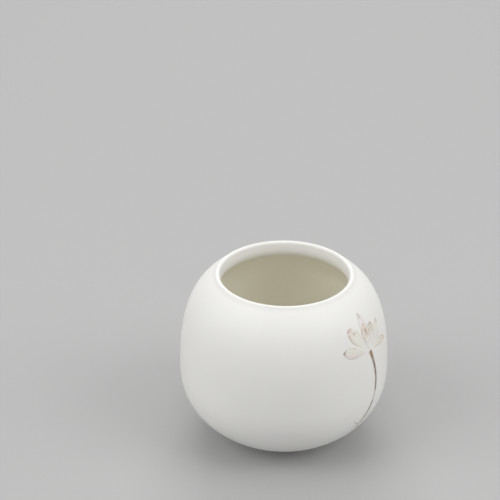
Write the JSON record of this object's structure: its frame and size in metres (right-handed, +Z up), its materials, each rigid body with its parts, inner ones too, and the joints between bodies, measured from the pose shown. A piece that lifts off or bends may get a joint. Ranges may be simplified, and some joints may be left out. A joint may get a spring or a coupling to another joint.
{
  "type": "brush holder pot",
  "caption": "Small round porcelain pot with a narrow open mouth for standing brushes in, satin white outside with a fired-on lotus print.",
  "frame": {"origin": "middle of the foot, on the surface the pot stands on", "axes": "+Z up along the pot's axis, -Y towards the front, with the lotus turned about 54 degrees from -Y towards +X"},
  "size_m": [0.085, 0.085, 0.0728],
  "materials": {
    "porcelain": "bare biscuit",
    "glaze_white": "satin",
    "glaze_ivory": "satin",
    "petal_grey_pink": "fired ink",
    "petal_cream": "fired ink",
    "petal_blush": "fired ink",
    "petal_orange": "fired ink",
    "stem_brown": "fired ink",
    "grass_brown": "fired ink"
  },
  "bodies": {
    "root": {"pot_body": "porcelain", "outer_glaze": "glaze_white", "inner_glaze": "glaze_ivory", "base_glaze": "glaze_white", "petal_top": "petal_grey_pink", "petal_upper_left": "petal_cream", "petal_upper_right": "petal_cream", "petal_right": "petal_cream", "petal_lower_right": "petal_orange", "petal_lower_left": "petal_blush", "petal_centre": "petal_blush", "lotus_stem": "stem_brown", "grass_upper": "grass_brown", "grass_lower": "grass_brown", "grass_right": "grass_brown"}
  },
  "joints": []
}
